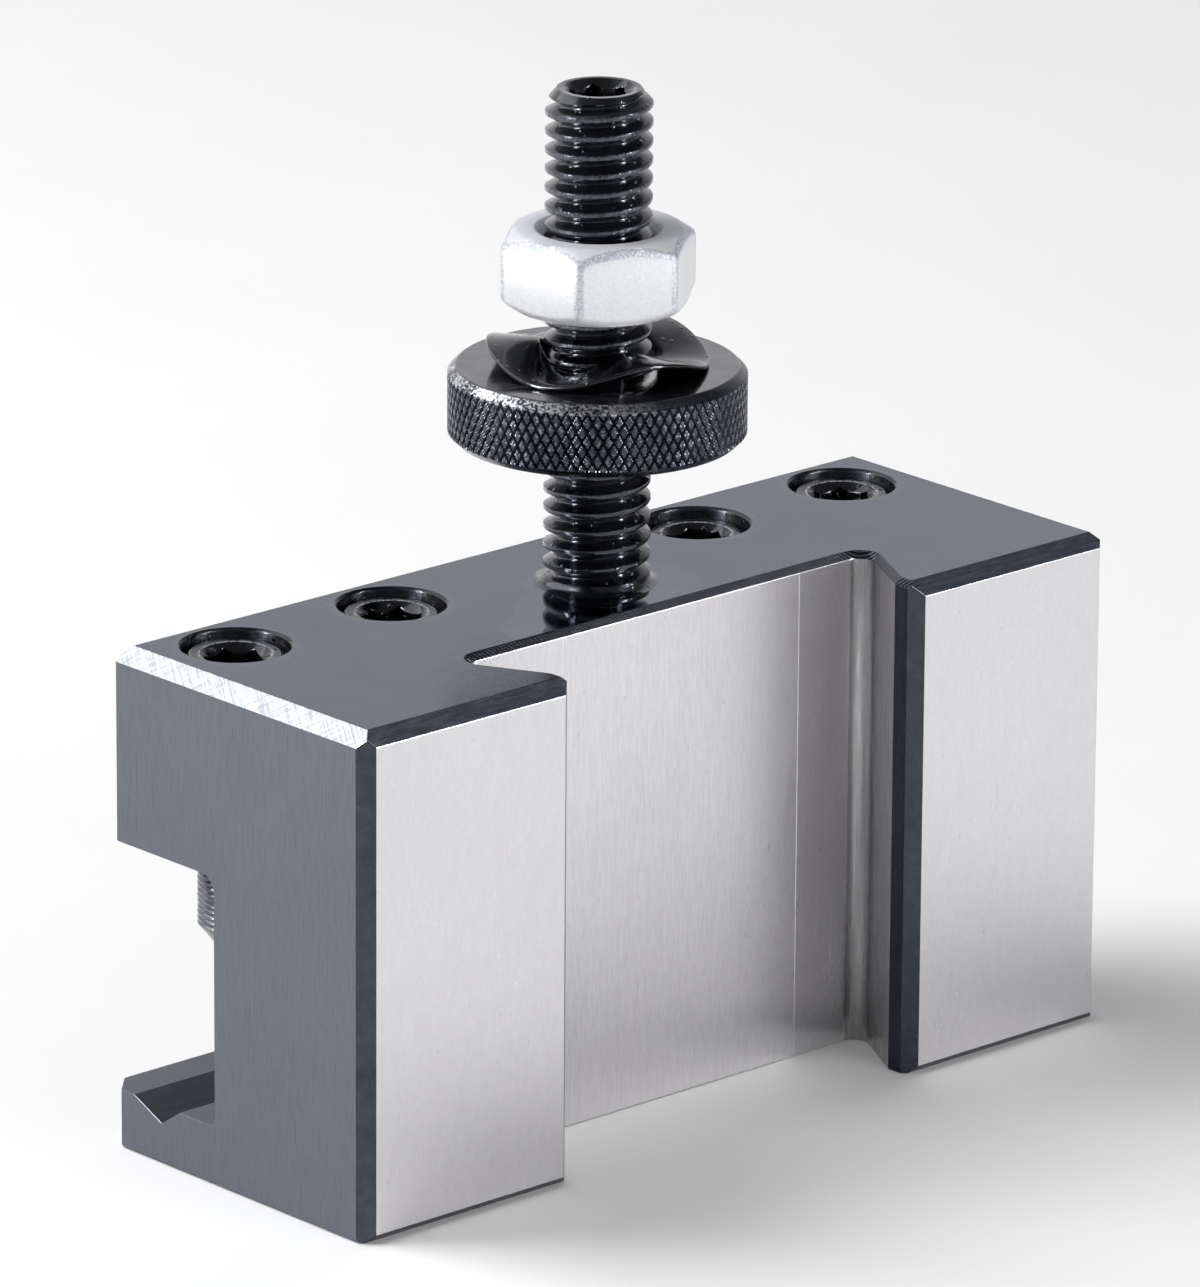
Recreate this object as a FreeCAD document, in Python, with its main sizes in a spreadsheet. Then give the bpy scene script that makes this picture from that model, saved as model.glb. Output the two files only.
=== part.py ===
import FreeCAD, Part
import math
import os
import Sketcher

# Quick-change holder for a lathe tool post: a steel block with a dovetail at the
# front, a tool slot at the rear, four clamp screws and a height-setting stud that
# carries a knurled thumb nut, a wave washer and a lock nut.
# Frame: X along the block, the dovetail faces -Y, +Z is up, and the origin is the
# middle of the block's underside. All lengths are millimetres, angles degrees.

os.makedirs("parts", exist_ok=True)
doc = FreeCAD.newDocument("tool_holder")
Vector = FreeCAD.Vector

SIZES = [
    # block
    ("body_length", 73.0),
    ("body_width", 28.8),
    ("body_height", 38.1),
    ("end_bevel", 1.15),
    ("front_bevel", 1.05),
    ("rear_bevel", 0.7),
    ("corner_bevel", 1.05),
    ("foot_bevel", 0.6),
    ("foot_end_bevel", 0.25),
    # dovetail
    ("dovetail_depth", 8.85),
    ("dovetail_mouth", 31.0),
    ("dovetail_angle", 28.0),
    ("dovetail_corner", 1.15),
    ("dovetail_bevel", 0.5),
    ("throat_width", 33.4),
    ("throat_bevel", 0.95),
    # tool slot
    ("upper_setback", 1.6),
    ("slot_depth", 12.3),
    ("slot_floor", 4.5),
    ("slot_opening", 18.9),
    ("slot_roof_corner", 1.2),
    ("slot_floor_corner", 0.6),
    ("vee_start", 3.35),
    ("vee_bottom", 6.4),
    ("vee_end", 8.45),
    ("vee_depth", 1.37),
    ("lip_corner", 1.9),
    ("lip_bevel", 0.2),
    # clamp screws
    ("screw_end_margin", 6.7),
    ("screw_pair_spacing", 14.8),
    ("screw_from_rear", 7.0),
    ("screw_hole", 7.9),
    ("screw_hole_mouth", 8.3),
    ("screw_crest", 7.8),
    ("screw_pitch", 1.25),
    ("screw_length", 22.1),
    ("screw_end_bevel", 0.55),
    ("screw_dog", 5.7),
    ("screw_dog_length", 8.9),
    ("screw_tip_bevel", 1.2),
    ("screw_sink_one", 0.6),
    ("screw_sink_two", 0.6),
    ("screw_sink_three", 0.8),
    ("screw_sink_four", 0.6),
    # hexagon sockets
    ("socket_flats", 4.0),
    ("socket_depth", 4.2),
    ("socket_mouth", 5.2),
    # height stud
    ("stud_crest", 7.8),
    ("stud_pitch", 1.411),
    ("stud_above", 37.1),
    ("stud_engaged", 10.6),
    ("stud_from_front", 16.3),
    ("stud_hole_depth", 11.0),
    ("stud_end_bevel", 0.8),
    # pieces on the stud
    ("running_bore", 7.9),
    ("thumb_diameter", 21.8),
    ("thumb_thickness", 5.5),
    ("thumb_above", 10.9),
    ("thumb_bevel", 0.6),
    ("thumb_bore_bevel", 0.4),
    ("washer_outer", 16.2),
    ("washer_inner", 8.5),
    ("washer_thickness", 0.35),
    ("washer_rise", 1.55),
    ("nut_flats", 13.0),
    ("nut_thickness", 5.8),
    ("nut_above", 20.9),
    ("nut_crown", 12.3),
    ("nut_bore_mouth", 9.4),
]

# how far the clamp screws of each pair are from the middle of the block
OUTER_SCREW = "(<body_length>/2-<screw_end_margin>)"
INNER_SCREW = "(<body_length>/2-<screw_end_margin>-<screw_pair_spacing>)"


def make_sheet():
    """Put every driving size in the sheet under its own name."""
    cells = doc.addObject("Spreadsheet::Sheet", "Sizes")
    for row, (name, value) in enumerate(SIZES, start=1):
        cells.set("A%d" % row, name)
        cells.set("B%d" % row, str(value))
        cells.setAlias("B%d" % row, name)
    doc.recompute()
    return cells


sheet = make_sheet()


def S(text):
    """Expression text with each size name pointed at the sheet."""
    for name, _ in sorted(SIZES, key=lambda item: -len(item[0])):
        text = text.replace("<%s>" % name, "Sizes." + name)
    return text


def origin_feature(body, role):
    return [item for item in body.Origin.OriginFeatures if item.Role == role][0]


def new_body(label):
    body = doc.addObject("PartDesign::Body", label)
    body.Label = label
    return body


def new_sketch(body, name, role, rise=None):
    """Sketch on one of the body's own planes, raised along the normal if asked."""
    sketch = body.newObject("Sketcher::SketchObject", name)
    sketch.AttachmentSupport = [(origin_feature(body, role), "")]
    sketch.MapMode = "FlatFace"
    if rise:
        sketch.setExpression("AttachmentOffset.Base.z", S(rise))
    doc.recompute()
    return sketch


def value_of(expression):
    """Number that an expression has now, read back through the sheet's engine."""
    return float(sheet.evalExpression(S(expression)))


def outline(sketch, points):
    """Closed polygon whose corners follow the size expressions in points."""
    spots = [Vector(value_of(x), value_of(y), 0) for x, y in points]
    first = sketch.GeometryCount
    count = len(spots)
    for index in range(count):
        line = Part.LineSegment(spots[index], spots[(index + 1) % count])
        sketch.addGeometry(line, False)
    for index in range(count):
        following = first + (index + 1) % count
        sketch.addConstraint(Sketcher.Constraint("Coincident", first + index, 2, following, 1))
    for index, (x, y) in enumerate(points):
        pin_point(sketch, first + index, 1, spots[index], x, y)


def pin_point(sketch, geometry, end, spot, x, y):
    """Hold one sketch point at the given expressions, measured from the origin."""
    for kind, number, text in (("DistanceX", spot.x, x), ("DistanceY", spot.y, y)):
        item = Sketcher.Constraint(kind, -1, 1, geometry, end, number)
        place = sketch.addConstraint(item)
        if "<" in text:
            sketch.setExpression("Constraints[%d]" % place, S(text))


def circle(sketch, x, y, diameter):
    """Circle held by its centre and its diameter."""
    spot = Vector(value_of(x), value_of(y), 0)
    shape = Part.Circle(spot, Vector(0, 0, 1), value_of(diameter) / 2)
    number = sketch.addGeometry(shape, False)
    pin_point(sketch, number, 3, spot, x, y)
    item = Sketcher.Constraint("Diameter", number, value_of(diameter))
    place = sketch.addConstraint(item)
    sketch.setExpression("Constraints[%d]" % place, S(diameter))


def hexagon(sketch, flats):
    """Hexagon with two corners on the sketch's X axis."""
    corner = "%s/sqrt(3)" % flats
    half = "%s/sqrt(12)" % flats
    flat = "%s/2" % flats
    outline(sketch, [
        (corner, "0"),
        (half, flat),
        ("-" + half, flat),
        ("-" + corner, "0"),
        ("-" + half, "-" + flat),
        (half, "-" + flat),
    ])


def pad(body, name, sketch, length):
    feature = body.newObject("PartDesign::Pad", name)
    feature.Profile = sketch
    feature.Length = value_of(length)
    feature.setExpression("Length", S(length))
    doc.recompute()
    return feature


def pocket_through(body, name, sketch):
    """Cut a sketch through the whole body, both ways from its plane."""
    feature = body.newObject("PartDesign::Pocket", name)
    feature.Profile = sketch
    feature.SideType = "Symmetric"
    feature.Type = "ThroughAll"
    doc.recompute()
    return feature


def pocket_down(body, name, sketch, depth):
    feature = body.newObject("PartDesign::Pocket", name)
    feature.Profile = sketch
    feature.Length = value_of(depth)
    feature.setExpression("Length", S(depth))
    doc.recompute()
    return feature


def turned(body, name, points, cut=False):
    """Full turn of a half section about the body's Z axis."""
    sketch = new_sketch(body, name + "_section", "XZ_Plane")
    outline(sketch, points)
    kind = "PartDesign::Groove" if cut else "PartDesign::Revolution"
    feature = body.newObject(kind, name)
    feature.Profile = sketch
    feature.ReferenceAxis = (origin_feature(body, "Z_Axis"), [""])
    feature.Angle = 360
    doc.recompute()
    return feature


def thread(body, name, crest, pitch, start, height):
    """Right-hand 60 degree thread cut from start upward."""
    root = "%s/2-0.61343*%s" % (crest, pitch)
    outside = "%s/2+0.2" % crest
    inner = "%s/8" % pitch
    outer = "(%s/8+(0.2+0.61343*%s)*tan(30))" % (pitch, pitch)
    sketch = new_sketch(body, name + "_section", "XZ_Plane")
    outline(sketch, [
        (root, "%s-%s" % (start, inner)),
        (outside, "%s-%s" % (start, outer)),
        (outside, "%s+%s" % (start, outer)),
        (root, "%s+%s" % (start, inner)),
    ])
    feature = body.newObject("PartDesign::SubtractiveHelix", name)
    feature.Profile = sketch
    feature.ReferenceAxis = (origin_feature(body, "Z_Axis"), [""])
    feature.Mode = "pitch-height-angle"
    feature.Angle = 0
    feature.LeftHanded = False
    feature.Pitch = value_of(pitch)
    feature.setExpression("Pitch", S(pitch))
    feature.Height = value_of(height)
    feature.setExpression("Height", S(height))
    doc.recompute()
    return feature


def edges_where(shape, test):
    """Names of the edges whose every sampled point passes the test."""
    names = []
    for number, edge in enumerate(shape.Edges, start=1):
        low, high = edge.ParameterRange
        spots = [edge.valueAt(low + (high - low) * step / 4.0) for step in range(5)]
        if all(test(spot) for spot in spots):
            names.append("Edge%d" % number)
    return names


def dress(body, kind, name, base, test, size):
    """Fillet or chamfer on the edges picked by position."""
    names = edges_where(base.Shape, test)
    feature = body.newObject("PartDesign::" + kind, name)
    feature.Base = (base, names)
    field = "Radius" if kind == "Fillet" else "Size"
    setattr(feature, field, value_of(size))
    feature.setExpression(field, S(size))
    doc.recompute()
    return feature


def plan_points():
    """Plan view of the block: a bevelled rectangle with the dovetail cut in."""
    side = "<body_length>/2"
    back = "<body_width>/2"
    throat = "<throat_width>/2"
    deep = "(<dovetail_mouth>/2+<dovetail_depth>*tan(<dovetail_angle>))"
    lip = "(<throat_width>-<dovetail_mouth>)/2/tan(<dovetail_angle>)"
    right = [
        (deep, "-%s+<dovetail_depth>" % back),
        (throat, "-%s+%s" % (back, lip)),
        (throat, "-%s+<throat_bevel>" % back),
        (throat + "+<throat_bevel>", "-" + back),
        (side + "-<corner_bevel>", "-" + back),
        (side, "-%s+<corner_bevel>" % back),
        (side, back),
    ]
    left = [("-(%s)" % x, y) for x, y in reversed(right)]
    return right + left


def slot_points():
    """Section cut from the rear: the upper part's setback and the slot with its vee."""
    back = "<body_width>/2"
    upper = back + "-<upper_setback>"
    roof = "<slot_floor>+<slot_opening>"
    return [
        (back + "+2", "<body_height>+2"),
        (upper, "<body_height>+2"),
        (upper, roof),
        (back + "-<slot_depth>", roof),
        (back + "-<slot_depth>", "<slot_floor>"),
        (back + "-<vee_end>", "<slot_floor>"),
        (back + "-<vee_bottom>", "<slot_floor>-<vee_depth>"),
        (back + "-<vee_start>", "<slot_floor>"),
        (back + "-<lip_bevel>", "<slot_floor>"),
        (back, "<slot_floor>-<lip_bevel>"),
        (back + "+2", "<slot_floor>-<lip_bevel>"),
    ]


def bevel_corner(sketch, x, y, side, rise, size):
    """Triangle over the corner x, y, reaching past it so that the cut is clean."""
    spare = 1.0
    reach = "(%s+%s)" % (size, spare)
    inward = "-" if side > 0 else "+"
    outward = "+" if side > 0 else "-"
    down = "-" if rise > 0 else "+"
    above = "+" if rise > 0 else "-"
    outline(sketch, [
        ("%s%s%s" % (x, inward, reach), "%s%s%s" % (y, above, spare)),
        ("%s%s%s" % (x, outward, spare), "%s%s%s" % (y, down, reach)),
        ("%s%s%s" % (x, outward, spare), "%s%s%s" % (y, above, spare)),
    ])


def holder_body():
    body = new_body("holder_body")
    plan = new_sketch(body, "plan", "XY_Plane")
    outline(plan, plan_points())
    block = pad(body, "block", plan, "<body_height>")
    section = new_sketch(body, "slot_section", "YZ_Plane")
    outline(section, slot_points())
    pocket_through(body, "tool_slot", section)

    side = "<body_length>/2"
    back = "<body_width>/2"
    top = "<body_height>"
    long_edges = new_sketch(body, "long_edge_section", "YZ_Plane")
    bevel_corner(long_edges, "-" + back, top, -1, 1, "<front_bevel>")
    bevel_corner(long_edges, back + "-<upper_setback>", top, 1, 1, "<rear_bevel>")
    bevel_corner(long_edges, "-" + back, "0", -1, -1, "<foot_bevel>")
    pocket_through(body, "long_bevels", long_edges)
    end_edges = new_sketch(body, "end_edge_section", "XZ_Plane")
    bevel_corner(end_edges, "-" + side, top, -1, 1, "<end_bevel>")
    bevel_corner(end_edges, side, top, 1, 1, "<end_bevel>")
    bevel_corner(end_edges, "-" + side, "0", -1, -1, "<foot_end_bevel>")
    bevel_corner(end_edges, side, "0", 1, -1, "<foot_end_bevel>")
    pocket_through(body, "end_bevels", end_edges)
    corners = new_sketch(body, "lip_corner_section", "XY_Plane", "<slot_floor>+1")
    bevel_corner(corners, "-" + side, back, -1, 1, "<lip_corner>")
    bevel_corner(corners, side, back, 1, 1, "<lip_corner>")
    last = pocket_down(body, "lip_corners", corners, "<slot_floor>+2")

    deep_x = value_of("<dovetail_mouth>/2+<dovetail_depth>*tan(<dovetail_angle>)")
    deep_y = value_of("-%s+<dovetail_depth>" % back)
    last = dress(body, "Fillet", "dovetail_corners", last,
                 lambda p: abs(abs(p.x) - deep_x) < 0.01 and abs(p.y - deep_y) < 0.01,
                 "<dovetail_corner>")
    wall_y = value_of(back + "-<slot_depth>")
    roof_z = value_of("<slot_floor>+<slot_opening>")
    floor_z = value_of("<slot_floor>")
    last = dress(body, "Fillet", "roof_corner", last,
                 lambda p: abs(p.y - wall_y) < 0.01 and abs(p.z - roof_z) < 0.01,
                 "<slot_roof_corner>")
    last = dress(body, "Fillet", "floor_corner", last,
                 lambda p: abs(p.y - wall_y) < 0.01 and abs(p.z - floor_z) < 0.01,
                 "<slot_floor_corner>")
    top_z = value_of(top)
    throat_x = value_of("<throat_width>/2")
    front_y = value_of("-%s+<front_bevel>" % back)
    last = dress(body, "Chamfer", "dovetail_top_bevel", last,
                 lambda p: (abs(p.z - top_z) < 0.01 and front_y - 0.02 < p.y < deep_y + 0.01
                            and throat_x - 0.01 < abs(p.x) < deep_x or
                            abs(p.z - top_z) < 0.01 and abs(p.y - deep_y) < 0.01),
                 "<dovetail_bevel>")

    clamp_sketch = new_sketch(body, "clamp_centres", "XY_Plane", top)
    for centre in ("-" + OUTER_SCREW, "-" + INNER_SCREW, INNER_SCREW, OUTER_SCREW):
        circle(clamp_sketch, centre, back + "-<screw_from_rear>", "<screw_hole>")
    drill(body, "clamp_holes", clamp_sketch, "<screw_hole>", "<screw_hole_mouth>",
          "<body_height>-<slot_floor>-<slot_opening>+1", False)
    stud_sketch = new_sketch(body, "stud_centre", "XY_Plane", top)
    circle(stud_sketch, "0", "-%s+<stud_from_front>" % back, "<running_bore>")
    drill(body, "stud_hole", stud_sketch, "<running_bore>", "<screw_hole_mouth>",
          "<stud_hole_depth>", True)
    return body


def drill(body, name, sketch, diameter, mouth, depth, pointed):
    """Round holes with a small countersink at the mouth."""
    doc.recompute()
    feature = body.newObject("PartDesign::Hole", name)
    feature.Profile = sketch
    feature.Threaded = False
    feature.Diameter = value_of(diameter)
    feature.setExpression("Diameter", S(diameter))
    feature.DepthType = "Dimension"
    feature.Depth = value_of(depth)
    feature.setExpression("Depth", S(depth))
    feature.DrillPoint = "Angled" if pointed else "Flat"
    feature.HoleCutType = "Countersink"
    feature.HoleCutCountersinkAngle = 90
    feature.HoleCutDiameter = value_of(mouth)
    feature.setExpression("HoleCutDiameter", S(mouth))
    doc.recompute()
    return feature


def hex_socket(body, top):
    """Hexagon socket with a bevelled mouth, sunk from the height top."""
    sketch = new_sketch(body, "socket_section", "XY_Plane", top)
    hexagon(sketch, "<socket_flats>")
    pocket_down(body, "socket", sketch, "<socket_depth>")
    mouth = "<socket_mouth>/2"
    turned(body, "socket_mouth_bevel", [
        ("0", top + "+1"),
        (mouth + "+1", top + "+1"),
        ("0", "%s-%s" % (top, mouth)),
    ], cut=True)


def place(body, x, y, z, turn=0.0):
    body.Placement = FreeCAD.Placement(Vector(0, 0, 0), FreeCAD.Rotation(Vector(0, 0, 1), turn))
    body.setExpression("Placement.Base.x", S(x))
    body.setExpression("Placement.Base.y", S(y))
    body.setExpression("Placement.Base.z", S(z))
    doc.recompute()


def clamp_screw(label, x, sink, turn):
    """Set screw with a dog point; its own origin is the middle of its tip."""
    body = new_body(label)
    crest = "<screw_crest>/2"
    dog = "<screw_dog>/2"
    turned(body, "blank", [
        ("0", "0"),
        (dog + "-<screw_tip_bevel>", "0"),
        (dog, "<screw_tip_bevel>"),
        (dog, "<screw_dog_length>"),
        (crest, "<screw_dog_length>+%s-%s" % (crest, dog)),
        (crest, "<screw_length>-<screw_end_bevel>"),
        (crest + "-<screw_end_bevel>", "<screw_length>"),
        ("0", "<screw_length>"),
    ])
    hex_socket(body, "<screw_length>")
    thread(body, "screw_thread", "<screw_crest>", "<screw_pitch>", "<screw_dog_length>",
           "<screw_length>-<screw_dog_length>+<screw_pitch>")
    place(body, x, "<body_width>/2-<screw_from_rear>",
          "<body_height>-%s-<screw_length>" % sink, turn)
    return body


def height_stud():
    """Threaded stud, screwed into the block; its own origin is its lower end."""
    body = new_body("height_stud")
    crest = "<stud_crest>/2"
    length = "(<stud_engaged>+<stud_above>)"
    turned(body, "blank", [
        ("0", "0"),
        (crest + "-<stud_end_bevel>", "0"),
        (crest, "<stud_end_bevel>"),
        (crest, length + "-<stud_end_bevel>"),
        (crest + "-<stud_end_bevel>", length),
        ("0", length),
    ])
    hex_socket(body, length)
    thread(body, "stud_thread", "<stud_crest>", "<stud_pitch>", "-<stud_pitch>",
           length + "+2*<stud_pitch>")
    place(body, "0", "-<body_width>/2+<stud_from_front>", "<body_height>-<stud_engaged>")
    return body


def thumb_nut():
    """Round nut that rests on the tool post and sets the height."""
    body = new_body("thumb_nut")
    rim = "<thumb_diameter>/2"
    bore = "<running_bore>/2"
    turned(body, "disc", [
        (bore + "+<thumb_bore_bevel>", "0"),
        (rim + "-<thumb_bevel>", "0"),
        (rim, "<thumb_bevel>"),
        (rim, "<thumb_thickness>-<thumb_bevel>"),
        (rim + "-<thumb_bevel>", "<thumb_thickness>"),
        (bore + "+<thumb_bore_bevel>", "<thumb_thickness>"),
        (bore, "<thumb_thickness>-<thumb_bore_bevel>"),
        (bore, "<thumb_bore_bevel>"),
    ])
    place(body, "0", "-<body_width>/2+<stud_from_front>", "<body_height>+<thumb_above>")
    return body


def lock_nut():
    """Hexagon nut with both ends crowned."""
    body = new_body("lock_nut")
    section = new_sketch(body, "hexagon", "XY_Plane")
    hexagon(section, "<nut_flats>")
    pad(body, "bar", section, "<nut_thickness>")
    crown = "<nut_crown>/2"
    slope = "3*tan(30)"
    turned(body, "lower_crown", [
        (crown, "-0.01"),
        (crown + "+3", "-0.01"),
        (crown + "+3", slope),
    ], cut=True)
    turned(body, "upper_crown", [
        (crown, "<nut_thickness>+0.01"),
        (crown + "+3", "<nut_thickness>-" + slope),
        (crown + "+3", "<nut_thickness>+0.01"),
    ], cut=True)
    bore = "<running_bore>/2"
    mouth = "<nut_bore_mouth>/2"
    turned(body, "bore", [
        ("0", "-1"),
        (mouth + "+1", "-1"),
        (bore, "%s-%s" % (mouth, bore)),
        (bore, "<nut_thickness>-%s+%s" % (mouth, bore)),
        (mouth + "+1", "<nut_thickness>+1"),
        ("0", "<nut_thickness>+1"),
    ], cut=True)
    place(body, "0", "-<body_width>/2+<stud_from_front>", "<body_height>+<nut_above>", 36.8)
    return body


def wave_washer():
    """Thin spring washer with three waves, lofted round through radial sections."""
    steps = 36
    sections = []
    for step in range(steps):
        angle = 360.0 * step / steps
        sketch = doc.addObject("Sketcher::SketchObject", "washer_section_%02d" % step)
        turn = FreeCAD.Rotation(Vector(0, 0, 1), angle) * FreeCAD.Rotation(Vector(1, 0, 0), 90)
        sketch.Placement = FreeCAD.Placement(Vector(0, 0, 0), turn)
        low = "<washer_rise>*%.8f" % (0.5 + 0.5 * math.cos(math.radians(3 * angle)))
        outline(sketch, [
            ("<washer_inner>/2", low),
            ("<washer_outer>/2", low),
            ("<washer_outer>/2", low + "+<washer_thickness>"),
            ("<washer_inner>/2", low + "+<washer_thickness>"),
        ])
        sections.append(sketch)
    loft = doc.addObject("Part::Loft", "wave_washer")
    loft.Label = "wave_washer"
    loft.Sections = sections
    loft.Solid = True
    loft.Ruled = False
    loft.Closed = True
    place(loft, "0", "-<body_width>/2+<stud_from_front>",
          "<body_height>+<thumb_above>+<thumb_thickness>", 17.7)
    return loft


def export(items):
    """Check every object, then write one file for each named piece."""
    doc.recompute()
    for item in doc.Objects:
        if "Invalid" in item.State or "Error" in item.State:
            raise RuntimeError("%s did not build: %s" % (item.Label, item.State))
    for item in items:
        shape = item.Shape
        if shape.isNull() or not shape.isValid():
            raise RuntimeError("%s has no valid shape" % item.Label)
        shape.exportStep("parts/%s.step" % item.Label)
        box = shape.optimalBoundingBox(False)
        print(item.Label, round(shape.Volume, 2), len(shape.Solids),
              [round(v, 3) for v in (box.XMin, box.YMin, box.ZMin, box.XMax, box.YMax, box.ZMax)])


pieces = [
    holder_body(),
    height_stud(),
    thumb_nut(),
    wave_washer(),
    lock_nut(),
    clamp_screw("clamp_screw_1", "-" + OUTER_SCREW, "<screw_sink_one>", 12.0),
    clamp_screw("clamp_screw_2", "-" + INNER_SCREW, "<screw_sink_two>", 35.0),
    clamp_screw("clamp_screw_3", INNER_SCREW, "<screw_sink_three>", 3.0),
    clamp_screw("clamp_screw_4", OUTER_SCREW, "<screw_sink_four>", 50.0),
]
export(pieces)
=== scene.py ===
import math

import bmesh
import bpy
from mathutils import Matrix, Vector


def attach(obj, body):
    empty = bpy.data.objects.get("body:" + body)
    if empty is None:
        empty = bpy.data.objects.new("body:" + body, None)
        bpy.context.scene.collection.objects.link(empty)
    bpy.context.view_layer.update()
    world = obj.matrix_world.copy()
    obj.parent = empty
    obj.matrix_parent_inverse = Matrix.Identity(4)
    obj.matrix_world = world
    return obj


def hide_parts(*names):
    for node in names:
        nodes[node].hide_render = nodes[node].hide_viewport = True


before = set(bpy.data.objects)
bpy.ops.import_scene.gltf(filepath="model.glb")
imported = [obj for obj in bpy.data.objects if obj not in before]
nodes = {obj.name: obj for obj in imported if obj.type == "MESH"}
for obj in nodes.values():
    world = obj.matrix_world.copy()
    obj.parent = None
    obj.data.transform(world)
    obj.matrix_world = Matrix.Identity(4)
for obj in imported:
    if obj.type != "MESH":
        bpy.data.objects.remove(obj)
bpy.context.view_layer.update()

MM = 0.001

# Sizes that the pieces repeat from the CAD source, in millimetres.
STUD_AXIS = (0.0, 1.9)
STUD_TIP = 75.2
STUD_PITCH = 1.411
BODY_TOP = 38.1
BODY_FRONT = -14.4
HALF_LENGTH = 36.5
DOVETAIL_BACK = -5.55
DOVETAIL_HALF = 20.2
SCREW_Y = 7.4
THUMB_LOW, THUMB_HIGH, THUMB_RADIUS, THUMB_BEVEL = 49.0, 54.5, 10.9, 0.6
NUT_LOW, NUT_HIGH, NUT_FLATS = 59.0, 64.8, 13.0
SOCKET_FLATS, SOCKET_MOUTH, SOCKET_DEPTH = 4.0, 5.2, 4.2

# Each clamp screw: x, depth of its end below the block's top, and degrees it is turned.
SCREWS = {
    1: (-29.8, 0.6, 12.0),
    2: (-15.0, 0.6, 35.0),
    3: (15.0, 0.8, 3.0),
    4: (29.8, 0.6, 50.0),
}


# Mesh building

class Build:
    """Points in millimetres and faces, gathered ring by ring."""

    def __init__(self):
        self.points = []
        self.faces = []

    def point(self, x, y, z):
        self.points.append((x * MM, y * MM, z * MM))
        return len(self.points) - 1

    def ring(self, spots):
        return [self.point(*spot) for spot in spots]

    def face(self, corners):
        """Add a face, leaving out corners named twice."""
        kept = []
        for corner in corners:
            if corner not in kept:
                kept.append(corner)
        if len(kept) > 2:
            self.faces.append(tuple(kept))

    def bridge(self, low, high):
        count = len(low)
        for i in range(count):
            j = (i + 1) % count
            self.face((low[i], low[j], high[j], high[i]))

    def fan(self, ring, x, y, z):
        centre = self.point(x, y, z)
        for i in range(len(ring)):
            self.face((ring[i], ring[(i + 1) % len(ring)], centre))

    def rings(self, rings):
        made = [self.ring(spots) for spots in rings]
        for low, high in zip(made, made[1:]):
            self.bridge(low, high)
        return made

    def piece(self, name, body, node, material, sharp=32.0):
        mesh = bpy.data.meshes.new(name)
        mesh.from_pydata(self.points, [], self.faces)
        work = bmesh.new()
        work.from_mesh(mesh)
        bmesh.ops.remove_doubles(work, verts=work.verts, dist=1e-7)
        bmesh.ops.dissolve_degenerate(work, edges=work.edges, dist=1e-7)
        bmesh.ops.recalc_face_normals(work, faces=work.faces)
        work.to_mesh(mesh)
        work.free()
        mesh.shade_smooth()
        mesh.set_sharp_from_angle(angle=math.radians(sharp))
        mesh.materials.append(material)
        made = bpy.data.objects.new(name, mesh)
        bpy.context.scene.collection.objects.link(made)
        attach(made, body)
        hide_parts(node)
        return made


def circle_spots(count, radius, z, centre, turn=0.0):
    """One ring of points; radius and z may be functions of the angle."""
    spots = []
    for i in range(count):
        angle = turn + 2 * math.pi * i / count
        r = radius(angle) if callable(radius) else radius
        h = z(angle) if callable(z) else z
        spots.append((centre[0] + r * math.cos(angle), centre[1] + r * math.sin(angle), h))
    return spots


def hexagon_radius(flats, turn):
    """Radius of a hexagon at each angle, from its width across flats."""
    def radius(angle):
        step = (angle - turn) % (math.pi / 3)
        return flats / 2 / math.cos(step - math.pi / 6)
    return radius


def thread_radius(crest, pitch, depth, crest_share, root_share, soft, phase=0.0, pool=0.0):
    """Radius of a right-hand thread at a height and angle, with its corners eased.

    soft eases every corner; pool eases the roots further, as oil standing in them does.
    """
    half_crest = crest_share / 2
    half_root = root_share / 2

    def sharp(away):
        away = abs(away)
        if away < half_crest:
            return crest
        if away > 0.5 - half_root:
            return crest - depth
        return crest - depth * (away - half_crest) / (0.5 - half_root - half_crest)

    def radius(z, angle):
        place = (z / pitch - angle / (2 * math.pi) - phase) % 1.0
        away = abs(place - 0.5)
        deep = min(1.0, max(0.0, (away - 0.18) / 0.16))
        reach = soft + (pool - soft) * deep * deep * (3 - 2 * deep) if pool else soft
        parts = [sharp(min(abs(away + reach * k / 4), 1 - abs(away + reach * k / 4)))
                 for k in (-4, -3, -2, -1, 0, 1, 2, 3, 4)]
        return sum(parts) / len(parts)
    return radius


def helix_wall(build, centre, pitch, rows, low, high, radius, count, turn=0.0):
    """Wall whose rows climb one pitch a turn. Rows past an end meet in that end's ring."""
    def spot(i, z):
        angle = turn + 2 * math.pi * i / count
        r = radius(z, angle)
        return (centre[0] + r * math.cos(angle), centre[1] + r * math.sin(angle), z)

    bottom = build.ring([spot(i, low) for i in range(count)])
    top = build.ring([spot(i, high) for i in range(count)])
    total = int(math.ceil(rows * (high - low) / pitch)) + 2 * rows
    columns = []
    for i in range(count):
        column = []
        for k in range(total + 1):
            z = low + (k - rows) * pitch / rows + pitch * i / count
            if z <= low + 1e-4:
                column.append(bottom[i])
            elif z >= high - 1e-4:
                column.append(top[i])
            else:
                column.append(build.point(*spot(i, z)))
        columns.append(column)
    columns.append(columns[0][rows:] + [top[0]] * rows)
    for i in range(count):
        left, right = columns[i], columns[i + 1]
        for k in range(total):
            build.face((left[k], right[k], right[k + 1], left[k + 1]))
    return bottom, top


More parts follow.
